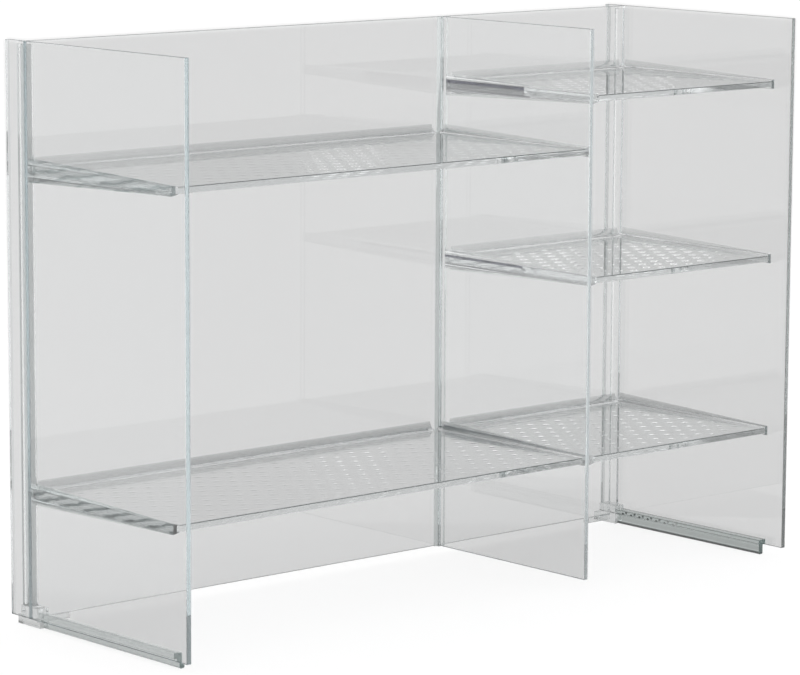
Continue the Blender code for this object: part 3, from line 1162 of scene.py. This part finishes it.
@dataclass
class Studio:
    """Floor, world, lamps and camera."""

    floor_size: float = 60.0
    floor_drop: float = 0.0002
    floor_colour: Colour = (0.92, 0.92, 0.92)
    floor_glow: float = 0.5
    rearward: Triple = (0.66, 0.75, 0.0)
    turn_front: float = -0.6
    turn_rear: float = 0.5
    horizon_front: float = 0.10
    horizon_rear: float = 0.62
    climb_low: float = 0.1
    climb_high: float = 0.75
    zenith: float = 0.45
    key_power: float = 38.0
    key_radius: float = 0.006
    glint_distance: float = 45.0
    glint_radiance: float = 1.25
    glint_aim: Triple = (0.0, 0.0, 0.3)
    bounces: int = 200
    clear_bounces: int = 32
    focal_length: float = 171.7
    sensor_width: float = 36.0
    clip_end: float = 200.0
    azimuth: float = -41.417
    elevation: float = 8.900
    roll: float = 0.261
    distance: float = 3.568
    target: Triple = (-0.01933, 0.0, 0.2424)

    def build(self) -> None:
        """Make the whole studio."""
        self._floor()
        self._world()
        self._key_lamp()
        self._glint_lamps()
        self._camera()
        bpy.context.scene.view_settings.view_transform = "Standard"
        self._light_paths()

    def _light_paths(self) -> None:
        """Let light pass through all the sheets and mouldings that stand behind each other."""
        cycles = bpy.context.scene.cycles
        cycles.max_bounces = self.bounces
        cycles.transmission_bounces = self.bounces
        cycles.glossy_bounces = self.bounces
        cycles.transparent_max_bounces = self.clear_bounces

    def _floor(self) -> None:
        """Lay a pale floor under the rack."""
        half = self.floor_size / 2
        mesh = bpy.data.meshes.new("studio_floor")
        corners = ((-half, -half), (half, -half), (half, half), (-half, half))
        mesh.from_pydata([(x, y, -self.floor_drop) for x, y in corners], [], [(0, 1, 2, 3)])
        floor = add_object("studio_floor", mesh)
        paint = bpy.data.materials.new("pale studio floor")
        paint.use_nodes = True
        shader = paint.node_tree.nodes["Principled BSDF"]
        shader.inputs["Base Color"].default_value = (*self.floor_colour, 1.0)
        shader.inputs["Roughness"].default_value = 1.0
        shader.inputs["Specular IOR Level"].default_value = 0.0
        self._whiten(paint)
        mesh.materials.append(paint)

    def _whiten(self, paint: Material) -> None:
        """Let the floor read paler where it is seen, also in the acrylic, and keep its shadow.

        Args:
            paint: The floor's material.
        """
        sums = NodeMaths(paint.node_tree)
        nodes, links = sums.nodes, sums.links
        path = nodes.new("ShaderNodeLightPath").outputs
        seen = sums.maths("MAXIMUM", path["Is Camera Ray"], path["Is Glossy Ray"])
        seen = sums.maths("MAXIMUM", seen, path["Is Transmission Ray"])
        white = nodes.new("ShaderNodeEmission")
        white.inputs["Strength"].default_value = 1.0
        blend = nodes.new("ShaderNodeMixShader")
        links.new(sums.maths("MULTIPLY", seen, self.floor_glow), blend.inputs["Fac"])
        links.new(nodes["Principled BSDF"].outputs["BSDF"], blend.inputs[1])
        links.new(white.outputs["Emission"], blend.inputs[2])
        links.new(blend.outputs["Shader"], nodes["Material Output"].inputs["Surface"])

    def _world(self) -> None:
        """Light the room softly: dim in front, pale behind and in between overhead."""
        world = bpy.data.worlds.new("soft studio")
        world.use_nodes = True
        bpy.context.scene.world = world
        sums = NodeMaths(world.node_tree)
        background = sums.nodes["Background"]
        background.inputs["Color"].default_value = (1.0, 1.0, 1.0, 1.0)
        place = sums.nodes.new("ShaderNodeTexCoord").outputs["Generated"]
        turn = sums.nodes.new("ShaderNodeVectorMath")
        turn.operation = "DOT_PRODUCT"
        turn.inputs[1].default_value = self.rearward
        sums.links.new(place, turn.inputs[0])
        horizon = sums.between(
            turn.outputs["Value"],
            self.turn_front,
            self.turn_rear,
            start=self.horizon_front,
            end=self.horizon_rear,
        )
        climb = sums.split(place)["Z"]
        level = sums.between(climb, self.climb_low, self.climb_high, start=horizon, end=self.zenith)
        sums.links.new(level, background.inputs["Strength"])

    def _key_lamp(self) -> None:
        """Put a lamp at the lens, whose light doesn't fade with distance along the floor."""
        light = bpy.data.lights.new("key_lamp", "POINT")
        light.energy = self.key_power
        light.shadow_soft_size = self.key_radius
        light.use_nodes = True
        sums = NodeMaths(light.node_tree)
        path = sums.nodes.new("ShaderNodeLightPath")
        even = sums.nodes.new("ShaderNodeLightFalloff")
        even.inputs["Strength"].default_value = 1.0
        level = sums.maths("MULTIPLY", path.outputs["Ray Length"], even.outputs["Constant"])
        sums.links.new(level, sums.nodes["Emission"].inputs["Strength"])
        lamp = add_object("key_lamp", light)
        lamp.location = self._view()[0]
        lamp.visible_glossy = False
        lamp.visible_transmission = False

    @staticmethod
    def _towards(azimuth: float, elevation: float) -> Vector:
        """Give the direction from the rack to a place around it.

        Args:
            azimuth: Degrees from the front, towards the right.
            elevation: Degrees above the floor.

        Returns:
            The direction, of length 1.
        """
        turn, lift = math.radians(azimuth), math.radians(elevation)
        level = math.cos(lift)
        return Vector((math.sin(turn) * level, -math.cos(turn) * level, math.sin(lift)))

    def _view(self) -> tuple[Vector, Vector]:
        """Give the camera's place and the direction from the rack back to it."""
        back = self._towards(self.azimuth, self.elevation)
        return Vector(self.target) + back * self.distance, back

    def _glint_lamps(self) -> None:
        """Stand narrow lamps behind the rack that light up in the shelves' dimples."""
        for number, spot in enumerate(GLINT_LAMPS, start=1):
            light = bpy.data.lights.new(f"glint_lamp_{number}", "AREA")
            light.shape = "RECTANGLE"
            light.size = spot.width
            light.size_y = spot.height
            area = spot.width * spot.height
            light.energy = self.glint_radiance * spot.share * math.pi * area
            opposite = self.azimuth - spot.aside + math.degrees(math.pi)
            lamp = add_object(light.name, light)
            lamp.location = self._towards(opposite, spot.elevation) * self.glint_distance
            aim = Vector(self.glint_aim) - lamp.location
            lamp.rotation_euler = aim.to_track_quat("-Z", "Y").to_euler()
            lamp.visible_camera = False

    def _camera(self) -> None:
        """Stand the camera at the photograph's viewing angle."""
        place, back = self._view()
        right = (-back).cross(Vector((0.0, 0.0, 1.0))).normalized()
        up = right.cross(-back)
        pose = Matrix((right, up, back)).transposed().to_4x4()
        pose = pose @ Matrix.Rotation(math.radians(self.roll), 4, "Z")
        pose.translation = place
        lens = bpy.data.cameras.new("photo_camera")
        lens.lens = self.focal_length
        lens.sensor_width = self.sensor_width
        lens.clip_end = self.clip_end
        camera = add_object("photo_camera", lens)
        camera.matrix_world = pose
        bpy.context.scene.camera = camera


# Each shelf's painted shade at its front edge's right end, and its finish
SHELF_LOOKS = {
    "upper_left_shelf": (0.45, SHADED_SHELF_FINISH),
    "lower_left_shelf": (0.45, SHELF_FINISH),
    "top_right_shelf": (0.88, TOP_SHELF_FINISH),
    "middle_right_shelf": (0.5, SHADED_SHELF_FINISH),
    "lower_right_shelf": (0.8, SHADED_SHELF_FINISH),
}


def sheets_and_mouldings(nodes: dict[str, Piece]) -> tuple[CadPieces | MouldedPieces, ...]:
    """Say how every sheet and moulding of the rack is dressed.

    Args:
        nodes: The CAD nodes by name.

    Returns:
        The groups of pieces, each with its finish.
    """
    sheets = ("left_side_panel", "right_side_panel", "back_panel", "centre_divider")
    divider_cleats = ("middle_right_shelf_left_cleat", "lower_right_shelf_left_cleat")
    divider_strips = ("divider_left_strip", "divider_right_strip")
    feet = ("left_rear_foot", "right_rear_foot")
    flares = tuple(name for name in nodes if name.endswith(("_right_cleat", "_rear_rail")))
    # Holders sorted by how deep the painted shade on their upper flare is
    deep_shade_flares = (
        "lower_left_shelf_right_cleat",
        "lower_left_shelf_rear_rail",
        "lower_right_shelf_right_cleat",
    )
    soft_shade_flares = ("upper_left_shelf_rear_rail", "lower_right_shelf_rear_rail")
    pale_shade_flares = tuple(name for name in flares if name not in deep_shade_flares + soft_shade_flares)
    return (
        CadPieces(nodes, CLEAR_SHEET, ("back_panel", "centre_divider")),
        CadPieces(nodes, LEFT_SHEET, ("left_side_panel",)),
        CadPieces(nodes, RIGHT_SHEET, ("right_side_panel",)),
        ShelfHolders(nodes, LOWER_CLEAT_FINISH, ("lower_left_shelf_left_cleat",)),
        ShelfHolders(nodes, UPPER_CLEAT_FINISH, ("upper_left_shelf_left_cleat",)),
        ShelfHolders(nodes, DIVIDER_CLEAT_FINISH, divider_cleats),
        ShelfHolders(nodes, TOP_CLEAT_FINISH, ("top_right_shelf_left_cleat",)),
        ShelfHolders(nodes, RAIL_FINISH, deep_shade_flares, flare=DEEP_FLARE_SHADE),
        ShelfHolders(nodes, RAIL_FINISH, soft_shade_flares, flare=SOFT_FLARE_SHADE),
        ShelfHolders(nodes, RAIL_FINISH, pale_shade_flares, flare=PALE_FLARE_SHADE),
        MouldedPieces(nodes, LEFT_CORNER_FINISH, ("left_corner_strip",), sheets=sheets),
        MouldedPieces(nodes, RIGHT_CORNER_FINISH, ("right_corner_strip",), sheets=sheets),
        DividerStrips(nodes, STRIP_FINISH, divider_strips, sheets=sheets),
        MouldedPieces(nodes, LOCATING_RAIL_FINISH, ("left_locating_rail",)),
        MouldedPieces(nodes, DOTTED_RAIL_FINISH, ("right_locating_rail",)),
        MouldedPieces(nodes, FOOT_FINISH, feet),
    )


def main() -> None:
    """Dress the rack and set up the studio."""
    logging.basicConfig(level=logging.INFO)
    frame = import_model()
    shader = AcrylicShader()
    for group in sheets_and_mouldings(frame["nodes"]):
        group.dress(shader)
    dimples = DimpleField(DimpleRule())
    for name, (end_shade, finish) in SHELF_LOOKS.items():
        low, high = (Vector(corner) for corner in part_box(name))
        ShelfPlate(name, low, high, end_shade, finish).dress(dimples, shader)
    Studio().build()


if __name__ == "__main__":
    main()
